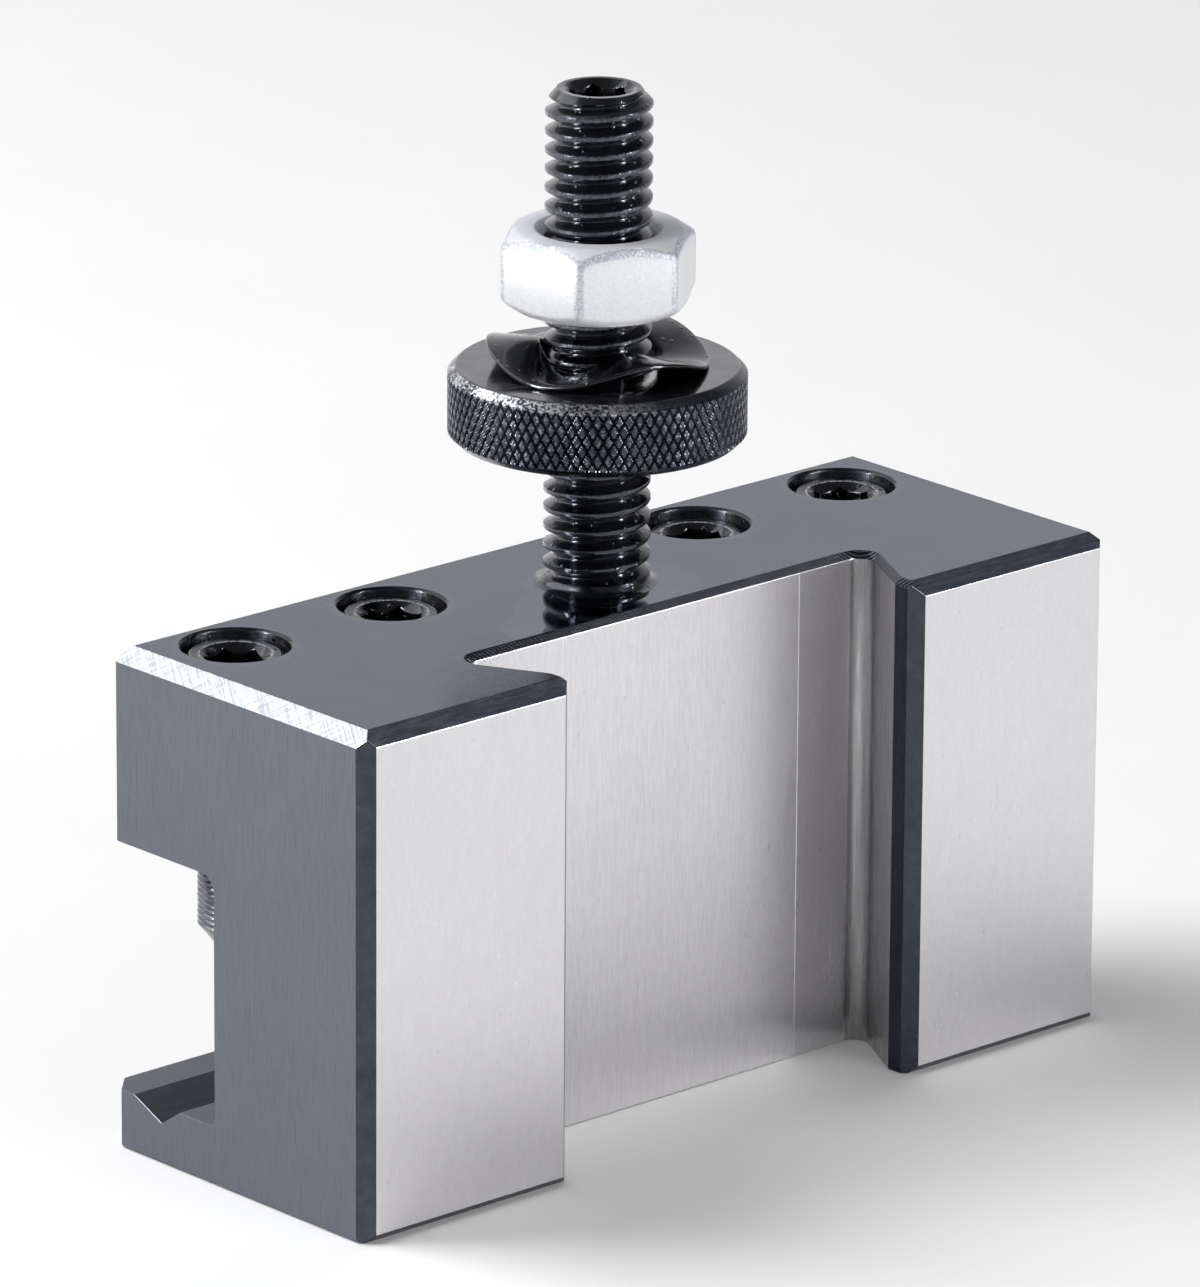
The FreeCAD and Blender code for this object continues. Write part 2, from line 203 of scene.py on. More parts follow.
def socket_rings(build, top, centre, z, count, turn):
    """Flat end, bevelled mouth and hexagon hole, going in from an outer ring."""
    hexagon = hexagon_radius(SOCKET_FLATS, turn)
    mouth = SOCKET_MOUTH / 2
    drill_point = 0.5
    previous = top
    for radius, height in (
        (mouth + 0.05, z),
        (mouth, z - 0.02),
        (lambda a: hexagon(a) + 0.03, lambda a: z - (mouth - hexagon(a)) + 0.01),
        (hexagon, lambda a: z - (mouth - hexagon(a)) - 0.04),
        (hexagon, z - SOCKET_DEPTH),
    ):
        ring = build.ring(circle_spots(count, radius, height, centre, turn))
        build.bridge(previous, ring)
        previous = ring
    build.fan(previous, centre[0], centre[1], z - SOCKET_DEPTH - drill_point)


# Materials

class Look:
    """A node material in the making."""

    def __init__(self, name):
        self.material = bpy.data.materials.new(name)
        self.material.use_nodes = True
        self.tree = self.material.node_tree
        self.shader = self.tree.nodes["Principled BSDF"]
        self.coords = self.tree.nodes.new("ShaderNodeTexCoord").outputs["Object"]

    def node(self, kind, links=(), **values):
        made = self.tree.nodes.new(kind)
        for name, value in values.items():
            setattr(made, name, value)
        for socket, source in dict(links).items():
            if hasattr(source, "is_output"):
                self.tree.links.new(source, made.inputs[socket])
            else:
                made.inputs[socket].default_value = source
        return made

    def stretched(self, scale, turn=(0, 0, 0)):
        """Object coordinates scaled by axis, in cycles per metre."""
        turned = self.node("ShaderNodeMapping", {0: self.coords, "Rotation": turn})
        return self.node("ShaderNodeMapping", {0: turned.outputs[0], "Scale": scale}).outputs[0]

    def noise(self, scale, detail=3.0, rough=0.5, turn=(0, 0, 0)):
        where = self.stretched(scale, turn)
        return self.node("ShaderNodeTexNoise", {"Vector": where, "Scale": 1.0,
                                                "Detail": detail, "Roughness": rough}).outputs[0]

    def ramp(self, source, stops):
        made = self.node("ShaderNodeValToRGB", {0: source})
        elements = made.color_ramp.elements
        while len(elements) < len(stops):
            elements.new(0.5)
        for element, (place, colour) in zip(elements, stops):
            element.position = place
            element.color = tuple(colour) + (1.0,)
        return made.outputs[0]

    def span(self, source, low, high, to_low=0.0, to_high=1.0):
        """Smooth step of a value from one range to another."""
        return self.node("ShaderNodeMapRange", {0: source, 1: low, 2: high, 3: to_low, 4: to_high},
                         interpolation_type="SMOOTHSTEP").outputs[0]

    def math(self, operation, a, b=0.0):
        return self.node("ShaderNodeMath", {0: a, 1: b}, operation=operation).outputs[0]

    def times(self, a, b):
        return self.math("MULTIPLY", a, b)

    def blend(self, a, share_a, b, share_b):
        """Sum of two values, each with its share."""
        return self.math("ADD", self.times(a, share_a), self.times(b, share_b))

    def mix_values(self, share, a, b):
        made = self.node("ShaderNodeMix", data_type="FLOAT")
        for number, source in ((0, share), (2, a), (3, b)):
            if hasattr(source, "is_output"):
                self.tree.links.new(source, made.inputs[number])
            else:
                made.inputs[number].default_value = source
        return made.outputs[0]

    def mix(self, share, a, b):
        made = self.node("ShaderNodeMix", data_type="RGBA")
        for number, source in ((0, share), (6, a), (7, b)):
            if hasattr(source, "is_output"):
                self.tree.links.new(source, made.inputs[number])
            elif number == 0:
                made.inputs[number].default_value = source
            else:
                made.inputs[number].default_value = tuple(source) + (1.0,)
        return made.outputs[2]

    def axis(self, name):
        return self.node("ShaderNodeSeparateXYZ", {0: self.coords}).outputs[name]

    def band(self, source, rise, fall):
        """One between two values in millimetres, easing up over rise and down over fall."""
        return self.times(self.span(source, rise[0] * MM, rise[1] * MM),
                          self.span(source, fall[1] * MM, fall[0] * MM))

    def distance(self, spot, flatten=(1, 1, 1)):
        """Distance from a spot given in millimetres, with the axes weighted."""
        shift = self.node("ShaderNodeVectorMath",
                          {0: self.coords, 1: [v * MM for v in spot]}, operation="SUBTRACT")
        scaled = self.node("ShaderNodeVectorMath", {0: shift.outputs[0], 1: flatten},
                           operation="MULTIPLY")
        return self.node("ShaderNodeVectorMath", {0: scaled.outputs[0]},
                         operation="LENGTH").outputs["Value"]

    def reach(self, centre):
        """Distance from an upright axis whose x and y are given in millimetres."""
        return self.distance((centre[0], centre[1], 0.0), (1, 1, 0))

    def bump(self, height, depth, previous=None):
        """Relief whose full height is depth millimetres."""
        links = {"Height": height, "Distance": depth * MM, "Strength": 1.0}
        if previous:
            links["Normal"] = previous
        return self.node("ShaderNodeBump", links).outputs[0]

    def set(self, **sockets):
        for name, source in sockets.items():
            socket = self.shader.inputs[name.replace("_", " ").title().replace("Ior", "IOR")]
            if hasattr(source, "is_output"):
                self.tree.links.new(source, socket)
            elif hasattr(source, "__len__"):
                socket.default_value = tuple(source) + (1.0,)
            else:
                socket.default_value = source
        return self.material


def oxide_look(name, colour, lighter, rough, grain, oil_spots=(), relief=0.004):
    """Black oxide on machined steel: fine grain, soft clouds, and oil round given spots.

    grain is in cycles per metre along each axis; an oil spot is its middle and its radius.
    """
    look = Look(name)
    fine = look.noise(grain, 4.0, 0.6)
    cloud = look.noise((90, 90, 90), 3.0, 0.55)
    speck = look.noise((5200, 5200, 5200), 2.0, 0.5)
    tint = look.ramp(look.blend(fine, 0.55, cloud, 0.45), [(0.32, colour), (0.68, lighter)])
    tint = look.mix(look.span(speck, 0.70, 0.78, 0.0, 0.5), tint,
                    [min(1.0, v * 1.9 + 0.02) for v in lighter])
    roughness = look.span(fine, 0.3, 0.7, rough * 0.85, rough * 1.2)
    height = look.math("ADD", fine, look.times(speck, 0.4))
    if oil_spots:
        edge_width, wander, wet_roughness = 0.25, 1.3, 0.05
        wet = None
        wobble = look.times(look.noise((900, 900, 900), 3.0, 0.6), wander * MM)
        for spot, radius in oil_spots:
            far = look.math("SUBTRACT", look.distance(spot), wobble)
            share = look.span(far, radius * MM, (radius - edge_width) * MM)
            wet = share if wet is None else look.math("MAXIMUM", wet, share)
        roughness = look.mix_values(wet, roughness, wet_roughness)
        height = look.times(height, look.math("SUBTRACT", 1.0, wet))
    return look.set(base_color=tint, metallic=1.0, roughness=roughness,
                    normal=look.bump(height, relief))


def ground_look(name, share, fine, coarse, low, rough, step=False):
    """Bright ground steel; fine and coarse are its two grains in cycles per metre."""
    look = Look(name)
    grain = look.noise(fine, 3.0, 0.6)
    streak = look.noise(coarse, 3.0, 0.6)
    cloud = look.noise((70, 70, 55), 2.0, 0.5)
    shade = look.math("ADD", look.blend(grain, 0.50, streak, 0.30), look.times(cloud, 0.20))
    tint = look.ramp(shade, [(0.34, [share * low * v for v in (1.0, 0.98, 1.0)]),
                             (0.66, [share * v for v in (0.85, 0.835, 0.855)])])
    speck = look.noise((2300, 2300, 1500), 1.0, 0.5)
    tint = look.mix(look.span(speck, 0.70, 0.80, 0.0, 0.18), tint, (0.30, 0.30, 0.33))
    normal = look.bump(look.blend(grain, 0.6, streak, 0.4), 0.0022)
    if step:
        # The cutter left a faint upright step here.
        step_starts, step_ends = 13.27, 13.36
        past = look.span(look.axis("X"), step_starts * MM, step_ends * MM)
        # Past the step the face is a little darker: the cutter's own surface, with faint painted
        # shade.
        tint = look.mix(look.times(past, 0.05), tint, (0.1, 0.1, 0.11))
        normal = look.bump(past, 0.03, normal)
    return look.set(base_color=tint, metallic=1.0, normal=normal, anisotropic=0.7,
                    roughness=look.span(shade, 0.35, 0.65, rough * 1.15, rough * 0.85))


def bright_bevel_look():
    """End bevel ground through to bright metal, with crossing slanted grinding marks."""
    look = Look("bright_bevel")
    tilt = math.radians(45)
    marks = look.noise((8200, 300, 400), 2.0, 0.6, (0, tilt, math.radians(38)))
    other = look.noise((7800, 300, 400), 2.0, 0.6, (0, tilt, math.radians(-44)))
    shade = look.blend(marks, 0.55, other, 0.45)
    tint = look.ramp(shade, [(0.43, (0.29, 0.31, 0.35)), (0.50, (0.42, 0.435, 0.465)),
                             (0.57, (0.57, 0.575, 0.595))])
    return look.set(base_color=tint, metallic=1.0,
                    roughness=look.span(shade, 0.4, 0.6, 0.40, 0.26),
                    normal=look.bump(shade, 0.02))


def cutter_mark_look():
    """Dark bevel round the throat, with the even tooth marks of the cutter across it."""
    look = Look("cutter_marks")
    spacing = 0.36
    along = look.math("ADD", look.axis("X"), look.axis("Y"))
    wave = look.math("SINE", look.times(along, 2 * math.pi / (spacing * MM)))
    wave = look.span(wave, -0.6, 0.8)
    tint = look.mix(wave, (0.010, 0.012, 0.017), (0.150, 0.160, 0.185))
    return look.set(base_color=tint, metallic=1.0, roughness=0.24, normal=look.bump(wave, 0.03))


def zinc_look():
    """Zinc plate, pale and finely grained, with speckled painted shade on the upper crown chamfers,
    lighter painted shade on the flat top, and darker eased corners.
    """
    look = Look("zinc_plate")
    grain = look.noise((5200, 5200, 5200), 4.0, 0.65)
    patch = look.noise((1500, 1500, 1500), 3.0, 0.5)
    shade = look.blend(grain, 0.85, patch, 0.15)
    tint = look.ramp(shade, [(0.36, (0.70, 0.71, 0.735)), (0.60, (0.79, 0.795, 0.815))])
    facing = look.node("ShaderNodeNewGeometry").outputs["Normal"]
    up = look.node("ShaderNodeSeparateXYZ", {0: facing}).outputs[2]
    # Faces turned part way up, the upper crown chamfers, get speckled painted shade.
    crown_shade = look.times(look.span(up, 0.12, 0.30), look.span(up, 0.84, 0.76))
    speckled = look.span(shade, 0.48, 0.56, 0.95, 0.40)
    tint = look.mix(look.times(crown_shade, speckled), tint, (0.36, 0.385, 0.44))
    # The eased corners are darker and speckled.
    corner_starts, corner_ends = 7.26, 7.36
    corner = look.times(look.span(look.reach(STUD_AXIS), corner_starts * MM, corner_ends * MM),
                        look.span(shade, 0.45, 0.56, 0.75, 0.25))
    tint = look.mix(corner, tint, (0.40, 0.42, 0.47))
    # Faces turned straight up, the flat top, get a lighter painted shade.
    tint = look.mix(look.span(up, 0.75, 0.85, 0.0, 0.30), tint, (0.44, 0.46, 0.52))
    return look.set(base_color=tint, metallic=0.3,
                    roughness=look.span(grain, 0.3, 0.7, 0.55, 0.45),
                    normal=look.bump(grain, 0.013))


def oiled_look(name, colour, lighter, rough, drops=0.07, film=0.7, crest=None, highlight_rims=None):
    """Black steel under oil. Drops stand drops mm high.

    crest is a thread's axis and radius, whose crests are paler higher up; rims is the axis
    and end height of a screw, whose socket mouth and end bevel get painted highlight, speckled like
    light wear.
    """
    look = Look(name)
    cloud = look.noise((700, 700, 700), 4.0, 0.6)
    fine = look.noise((4200, 4200, 4200), 3.0, 0.6)
    tint = look.ramp(cloud, [(0.35, colour), (0.70, lighter)])
    roughness = look.span(cloud, 0.35, 0.65, rough, rough * 1.7)
    if crest:
        axis, radius = crest
        # Crests are dim near the block and reach their full pale tone above the thumb nut.
        crests_dim_below, crests_full_above = 38.8, 56.0
        top = look.times(look.span(look.reach(axis), (radius - 0.16) * MM, (radius - 0.04) * MM),
                         look.span(fine, 0.40, 0.62, 0.15, 1.0))
        top = look.times(top, look.span(look.axis("Z"), crests_dim_below * MM, crests_full_above * MM, 0.15, 1.0))
        tint = look.mix(top, tint, (0.085, 0.093, 0.112))
        roughness = look.mix_values(top, roughness, 0.30)
    if highlight_rims:
        axis, end = highlight_rims
        reach = look.reach(axis)
        # Painted highlight rings on the socket mouth and end bevel, broken up like light wear.
        mouth_rim = look.band(reach, (2.54, 2.60), (2.70, 2.78))
        end_rim = look.band(reach, (3.26, 3.32), (3.42, 3.50))
        wear_and_highlight = look.times(look.math("MAXIMUM", mouth_rim, end_rim),
                          look.span(fine, 0.40, 0.56, 0.1, 1.0))
        wear_and_highlight = look.times(wear_and_highlight, look.span(look.axis("Z"), (end - 0.5) * MM, (end - 0.3) * MM))
        tint = look.mix(wear_and_highlight, tint, (0.42, 0.44, 0.49))
    normal = look.bump(look.blend(cloud, 0.8, fine, 0.25), 0.012)
    if drops:
        where = look.stretched((1700, 1700, 1700))
        cells = look.node("ShaderNodeTexVoronoi", {"Vector": where, "Scale": 1.0})
        dots = look.span(cells.outputs["Distance"], 0.34, 0.0)
        chance = look.node("ShaderNodeSeparateColor", {0: cells.outputs["Color"]}).outputs[0]
        normal = look.bump(look.times(dots, look.span(chance, 0.62, 0.70)), drops, normal)
    return look.set(base_color=tint, metallic=0.85, normal=normal, roughness=roughness,
                    coat_weight=film, coat_roughness=0.05, coat_normal=normal)


def knurl_look():
    """Blackened knurl with rubbed tips; its upper bevel is speckled light on the -X side, wear and
    painted highlight.
    """
    look = Look("knurl_wear_and_highlight")
    cloud = look.noise((420, 420, 420), 4.0, 0.6)
    fine = look.noise((3600, 3600, 5200), 3.0, 0.65)
    tint = look.ramp(cloud, [(0.35, (0.034, 0.038, 0.048)), (0.70, (0.080, 0.087, 0.105))])
    # The upper bevel on the -X side is speckled light: wear, and painted highlight where the left
    # lamps fall.
    edge_starts, edge_ends = THUMB_HIGH - 0.88, THUMB_HIGH - 0.55
    edge = look.span(look.axis("Z"), edge_starts * MM, edge_ends * MM)
    side = look.span(look.axis("X"), -2.5 * MM, -7.5 * MM)
    chance = look.span(look.blend(fine, 0.7, cloud, 0.3), 0.44, 0.54)
    wear_and_highlight = look.times(look.times(edge, side), chance)
    tips = look.span(look.reach(STUD_AXIS), (THUMB_RADIUS - 0.05) * MM, THUMB_RADIUS * MM)
    rubbed = look.times(look.times(tips, look.span(fine, 0.55, 0.64)), 0.35)
    tint = look.mix(look.math("MAXIMUM", wear_and_highlight, rubbed), tint, (0.66, 0.67, 0.70))
    return look.set(base_color=tint, metallic=1.0,
                    roughness=look.span(fine, 0.3, 0.7, 0.16, 0.32),
                    normal=look.bump(fine, 0.010), coat_weight=0.15, coat_roughness=0.05)


# The block

def face_kind(centre, normal):
    """Which look a face of the block gets, from its middle in millimetres and its normal.

    The dovetail opens to -Y, from its back at DOVETAIL_BACK to the block's front.
    """
    x, y, z = centre
    nx, ny, nz = normal
    upright = abs(nz) < 0.1
    in_dovetail = abs(x) < DOVETAIL_HALF + 0.1
    if upright and y < -12.1 and abs(nx) > 0.98 and abs(x) < 17.0:
        return "throat"
    if upright and ny < -0.99 and y < DOVETAIL_BACK + 0.5:
        return "ground" if y < BODY_FRONT + 0.4 else "ground_back"
    if upright and -12.8 < y < -5.4 and in_dovetail:
        return "flank"
    if nz > 0.6 and nx < -0.6 and x < 1.5 - HALF_LENGTH:
        return "bright_bevel"
    if nz > 0.9 and z > BODY_TOP - 0.6:
        return "top"
    if abs(nx) > 0.98 and abs(x) > HALF_LENGTH - 0.1:
        return "end"
    if -13.6 < y < -4.8 and 0.3 < nz < 0.9 and in_dovetail:
        return "cutter_marks"
    if y < -13.6 and 0.3 < nz < 0.9 and abs(nx) < 0.1:
        return "front_bevel"
    if y < -4.8 and 0.3 < abs(nz) < 0.9:
        return "bevel"
    if upright and 0.3 < abs(nx) < 0.95 and ny < -0.3:
        return "bevel"
    if y > 1.2 and 0.0 < z < 24.0:
        return "slot_slope" if 0.2 < nz < 0.9 else "slot"
    if z > 20.0 and abs(nz) < 0.9 and abs(y) < 12.0 and abs(x) < 35.0:
        return "bore"
    return "end"


def dress_block():
    """Give each face of the block its look, some darker with painted shade, and ease the block's
    edges.
    """
    body = nodes["holder_body"]
    mesh = body.data
    oil_spots = [((0.0, 0.2, BODY_TOP), 6.0), ((-5.0, -2.6, BODY_TOP), 4.6),
                 ((-9.6, -4.6, BODY_TOP), 3.6)]
    for (x, _, _), radius in zip(SCREWS.values(), (4.1, 4.1, 4.2, 4.1)):
        oil_spots.append(((x, SCREW_Y, BODY_TOP), radius))
    looks = {
        "ground": ground_look("ground_steel", 0.95, (5200, 5200, 1300), (1500, 1500, 500),
                              0.78, 0.32),
        "ground_back": ground_look("ground_back", 1.0, (6800, 6800, 800), (4600, 4600, 240),
                                   0.72, 0.32, step=True),
        # The flanks and their fillets take a darker copy of ground steel: painted shade in the
        # recess.
        "flank": ground_look("ground_flank_painted_shade", 0.60, (5200, 5200, 300), (2600, 2600, 60),
                             0.55, 0.30),
        "bright_bevel": bright_bevel_look(),
        "cutter_marks": cutter_mark_look(),
        "top": oxide_look("oxide_top", (0.125, 0.139, 0.177), (0.166, 0.182, 0.225), 0.24,
                          (240, 3000, 3000), oil_spots),
        "end": oxide_look("oxide_end", (0.136, 0.146, 0.169), (0.147, 0.158, 0.182), 0.30,
                          (8800, 8800, 380), relief=0.0005),
        # The throat walls take a much darker copy of the oxide: painted shade in the recess.
        "throat": oxide_look("oxide_throat_painted_shade", (0.022, 0.025, 0.034), (0.040, 0.044, 0.056), 0.24,
                             (3600, 3600, 300)),
        "bevel": oxide_look("oxide_bevel", (0.045, 0.050, 0.064), (0.080, 0.088, 0.105), 0.26,
                            (900, 900, 900)),
        "front_bevel": oxide_look("oxide_front_bevel", (0.110, 0.124, 0.158),
                                  (0.140, 0.157, 0.196), 0.26, (500, 3400, 3400)),
        "slot": oxide_look("oxide_slot", (0.085, 0.092, 0.110), (0.150, 0.160, 0.185), 0.30,
                           (200, 2600, 2600)),
        # The slot's sloped faces take a near-black copy of the oxide: painted shade inside the
        # slot.
        "slot_slope": oxide_look("oxide_slot_slope_painted_shade", (0.016, 0.018, 0.026),
                                 (0.060, 0.066, 0.080), 0.17, (160, 3000, 3000)),
        # The bore walls are oiled and much darker than the block's oxide: painted shade inside the
        # holes.
        "bore": oiled_look("oiled_bore_painted_shade", (0.010, 0.011, 0.014), (0.030, 0.032, 0.038), 0.22,
                           drops=0.30, film=0.25),
    }
    order = list(looks)
    mesh.materials.clear()
    for key in order:
        mesh.materials.append(looks[key])
    for polygon in mesh.polygons:
        centre = tuple(v / MM for v in polygon.center)
        polygon.material_index = order.index(face_kind(centre, polygon.normal))
    weld = body.modifiers.new("weld", "WELD")
    weld.merge_threshold = 1e-6
    ease = body.modifiers.new("edges", "BEVEL")
    ease.width = 0.07 * MM
    ease.segments = 2
    ease.limit_method = "ANGLE"
    ease.angle_limit = math.radians(28)
    ease.harden_normals = True


# Pieces on the block

def paint(made, look, centre, radius=math.inf, above=-math.inf, below=math.inf):
    """Give the faces within a radius of an upright axis, between two heights, another look."""
    made.data.materials.append(look)
    for polygon in made.data.polygons:
        spot = polygon.center / MM
        reach = math.hypot(spot.x - centre[0], spot.y - centre[1])
        if reach < radius and above < spot.z < below:
            polygon.material_index = len(made.data.materials) - 1


def height_stud():
    """Threaded stud, with the oil that stands round its foot."""
    build = Build()
    count, rows = 96, 16
    base, shank = 30.0, 3.3
    # The crests stand 0.02 mm further out than the solid's.
    crest = 3.92
    thread_starts = 27.5 - 0.49
    oil_top = BODY_TOP + 0.62
    tip_bevel, bevel_slope = 0.85, 0.85
    thread = thread_radius(crest, STUD_PITCH, 0.86, 0.24, 0.10, 0.03,
                           thread_starts / STUD_PITCH, 0.15)

    def radius(z, angle):
        return min(thread(z, angle), crest - tip_bevel + max(0.0, STUD_TIP - z) * bevel_slope)

    def uneven(reach):
        """Radius of the oil's edge, a little different all round."""
        return lambda a: reach + 0.10 * math.sin(3 * a + 1.0) + 0.04 * math.sin(7 * a)

    bottom, top = helix_wall(build, STUD_AXIS, STUD_PITCH, rows, oil_top, STUD_TIP, radius, count)
    foot = [circle_spots(count, shank, base, STUD_AXIS),
            circle_spots(count, shank, BODY_TOP - 0.04, STUD_AXIS)]
    for reach, rise in ((4.62, 0.01), (4.30, 0.05), (4.12, 0.14), (4.0, 0.30)):
        foot.append(circle_spots(count, uneven(reach), BODY_TOP + rise, STUD_AXIS))
    foot.append(circle_spots(count, lambda a: 0.4 * 3.95 + 0.6 * max(3.65, radius(oil_top, a)),
                             BODY_TOP + 0.48, STUD_AXIS))
    made = build.rings(foot)
    build.bridge(made[-1], bottom)
    build.fan(made[0][::-1], STUD_AXIS[0], STUD_AXIS[1], base)
    socket_rings(build, top, STUD_AXIS, STUD_TIP, count, 0.0)
    look = oiled_look("oiled_stud", (0.010, 0.012, 0.017), (0.036, 0.040, 0.052), 0.13,
                      crest=(STUD_AXIS, crest))
    stud = build.piece("stud", "holder", "height_stud", look)
    # The socket takes a darker copy of the stud's steel: painted shade in the hollow.
    hollow = oiled_look("oiled_hollow_painted_shade", (0.006, 0.007, 0.010), (0.020, 0.022, 0.028), 0.10)
    paint(stud, hollow, STUD_AXIS, radius=SOCKET_MOUTH / 2 + 0.02, above=60.0)


def clamp_screws():
    """Socket screws: a threaded upper part and a slimmer dog with fine rings."""
    # The sockets take a darker copy of the screws' steel: painted shade in the hollows.
    hollow = oiled_look("oiled_screw_hollow", (0.006, 0.007, 0.010), (0.022, 0.024, 0.030), 0.10,
                        drops=0.20, film=0.6)
    # The dog takes a much lighter copy of the screw's black steel: painted light, as if lit.
    dog = oiled_look("oiled_dog_painted_light", (0.050, 0.055, 0.066), (0.170, 0.180, 0.205), 0.16, film=0.4)
    count = 96
    length, dog_length = 22.1, 8.9
    pitch, rows = 1.25, 12
    ring_pitch, ring_rows = 0.43, 6
    dog_radius, dog_tip, dog_bevel_slope = 2.85, 1.44, 1.27
    end_radius = 3.35
    thread = thread_radius(3.9, pitch, 0.70, 0.16, 0.20, 0.05)
    rings = thread_radius(dog_radius, ring_pitch, 0.11, 0.35, 0.15, 0.08)
    for number, (x, sink, turn_degrees) in SCREWS.items():
        build = Build()
        centre = (x, SCREW_Y)
        turn = math.radians(turn_degrees)
        tip = BODY_TOP - sink
        foot = tip - length
        shoulder = foot + dog_length

        def upper(z, angle):
            return min(thread(z, angle), end_radius + max(0.0, tip - z),
                       dog_radius + max(0.0, z - shoulder))

        def lower(z, angle):
            return min(rings(z, angle), dog_tip + max(0.0, z - foot) / dog_bevel_slope)

        low_ring, mid_low = helix_wall(build, centre, ring_pitch, ring_rows, foot,
                                       shoulder - 0.02, lower, count, turn)
        mid_high, top = helix_wall(build, centre, pitch, rows, shoulder, tip, upper, count, turn)
        build.bridge(mid_low, mid_high)
        build.fan(low_ring[::-1], centre[0], centre[1], foot)
        socket_rings(build, top, centre, tip, count, turn)
        # Each screw's look carries painted highlight rings at its socket mouth and end bevel.
        look = oiled_look("oiled_screw_%d" % number, (0.012, 0.014, 0.019),
                          (0.042, 0.046, 0.057), 0.14, film=0.2, highlight_rims=(centre, tip))
        made = build.piece("screw_%d" % number, "screw_%d" % number,
                           "clamp_screw_%d" % number, look)
        paint(made, hollow, centre, radius=SOCKET_MOUTH / 2 + 0.02, above=shoulder + 1.0)
        paint(made, dog, centre, below=shoulder)


def thumb_nut():
    """Flat round nut with a diamond knurl cut into its rim."""
    build = Build()
    diamonds, steps = 90, 8
    count = diamonds * steps
    rows = 24
    # Depth of the groove at each step away from its middle.
    groove = (0.17, 0.035, 0.0, 0.0, 0.0)

    def sink(a, b):
        one, two = (a + b) % steps, (a - b) % steps
        return max(groove[min(one, steps - one)], groove[min(two, steps - two)])

    grid = []
    for b in range(rows + 1):
        z = THUMB_LOW + THUMB_BEVEL + (THUMB_HIGH - THUMB_LOW - 2 * THUMB_BEVEL) * b / rows
        ring = []
        for a in range(count):
            angle = 2 * math.pi * a / count
            depth = sink(a, b)
            radius = THUMB_RADIUS - depth
            height = z + depth if b == rows else z - depth if b == 0 else z
            ring.append(build.point(STUD_AXIS[0] + radius * math.cos(angle),
                                    STUD_AXIS[1] + radius * math.sin(angle), height))
        grid.append(ring)
    for b in range(rows):
        for a in range(count):
            c = (a + 1) % count
            quad = (grid[b][a], grid[b][c], grid[b + 1][c], grid[b + 1][a])
            if sink(a, b) + sink(a + 1, b + 1) > sink(a + 1, b) + sink(a, b + 1):
                build.face((quad[0], quad[1], quad[2]))
                build.face((quad[0], quad[2], quad[3]))
            else:
                build.face((quad[0], quad[1], quad[3]))
                build.face((quad[1], quad[2], quad[3]))

    face_edge = THUMB_RADIUS - THUMB_BEVEL

    def end_face(previous, end, inwards):
        """Rings from the knurl's edge over the bevel and the flat end into the bore."""
        for radius, rise in ((face_edge + 0.05, 0.05), (face_edge - 0.05, 0.0), (8.4, 0.0),
                             (4.4, 0.0), (4.3, 0.04), (3.98, 0.38)):
            ring = build.ring(circle_spots(count, radius, end + inwards * rise, STUD_AXIS))
            build.bridge(previous, ring)
            previous = ring
        return previous

    upper = end_face(grid[rows], THUMB_HIGH, -1)
    lower = end_face(grid[0], THUMB_LOW, 1)
    build.bridge(upper, lower)
    made = build.piece("thumb", "thumb", "thumb_nut", knurl_look(), 22.0)
    face = oiled_look("oiled_nut_face", (0.020, 0.022, 0.028), (0.090, 0.096, 0.110), 0.10,
                      drops=0)
    paint(made, face, STUD_AXIS, radius=face_edge)


def wave_washer():
    """Thin spring washer with three waves and rounded edges."""
    build = Build()
    count = 180
    inner, outer, thick, rise = 4.25, 8.1, 0.35, 1.55
    waves = 3
    first_crest = math.radians(17.7)

    def level_at(level):
        return lambda a: (THUMB_HIGH + level
                          + rise * (0.5 + 0.5 * math.cos(waves * (a - first_crest))))

    section = [(inner + 0.08, 0.0), (inner + 0.9, 0.0), (6.2, 0.0), (outer - 0.9, 0.0),
               (outer - 0.10, 0.0), (outer - 0.03, 0.06), (outer, 0.16), (outer, thick - 0.12),
               (outer - 0.04, thick - 0.03), (outer - 0.12, thick), (outer - 0.9, thick),
               (6.2, thick), (inner + 0.9, thick), (inner + 0.08, thick),
               (inner, thick - 0.08), (inner, 0.08)]
    rings = [build.ring(circle_spots(count, radius, level_at(level), STUD_AXIS))
             for radius, level in section]
    for k in range(len(rings)):
        build.bridge(rings[k], rings[(k + 1) % len(rings)])
    look = oiled_look("spring_black", (0.012, 0.013, 0.016), (0.038, 0.041, 0.048), 0.13)
    build.piece("washer", "washer", "wave_washer", look, 50.0)


